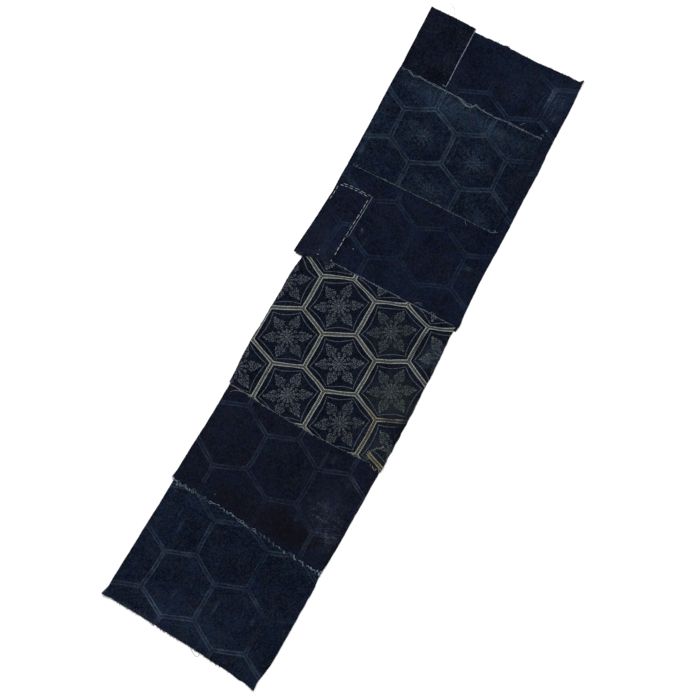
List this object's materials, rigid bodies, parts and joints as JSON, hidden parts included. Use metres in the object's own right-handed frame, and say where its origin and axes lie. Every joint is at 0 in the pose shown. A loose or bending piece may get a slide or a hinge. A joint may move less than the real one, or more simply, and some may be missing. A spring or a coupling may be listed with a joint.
{
  "type": "pieced katazome textile panel",
  "caption": "Long loom-width panel of dark indigo cotton, stencil-resist dyed with a tortoiseshell hexagon lattice, pieced and patched by hand and lying flat.",
  "frame": {"origin": "centre of the underside, on the surface the panel lies on", "axes": "+Y up the panel's length, towards the end with the corner patch; +X to the right of the face; +Z out of the face"},
  "size_m": [0.3482, 1.295, 0.0042],
  "materials": {
    "indigo_end": "matt hand-woven cotton, dark indigo with faint blue hexagon lines",
    "indigo_lower": "matt hand-woven cotton, dark indigo with faint blue hexagon lines",
    "indigo_patterned": "matt hand-woven cotton, indigo with pale resist lines and flowers",
    "indigo_long": "matt hand-woven cotton, dark indigo with faint blue hexagon lines",
    "indigo_faded": "matt worn cotton, faded indigo with clearer hexagon lines",
    "indigo_plain": "matt plain cotton, very dark indigo",
    "indigo_pocket": "matt hand-woven cotton, dark indigo"
  },
  "bodies": {
    "root": {"end_cloth": "indigo_end", "lower_cloth": "indigo_lower", "patterned_cloth": "indigo_patterned", "long_cloth": "indigo_long", "faded_patch": "indigo_faded", "corner_patch": "indigo_plain", "pocket_patch": "indigo_pocket"}
  },
  "joints": []
}
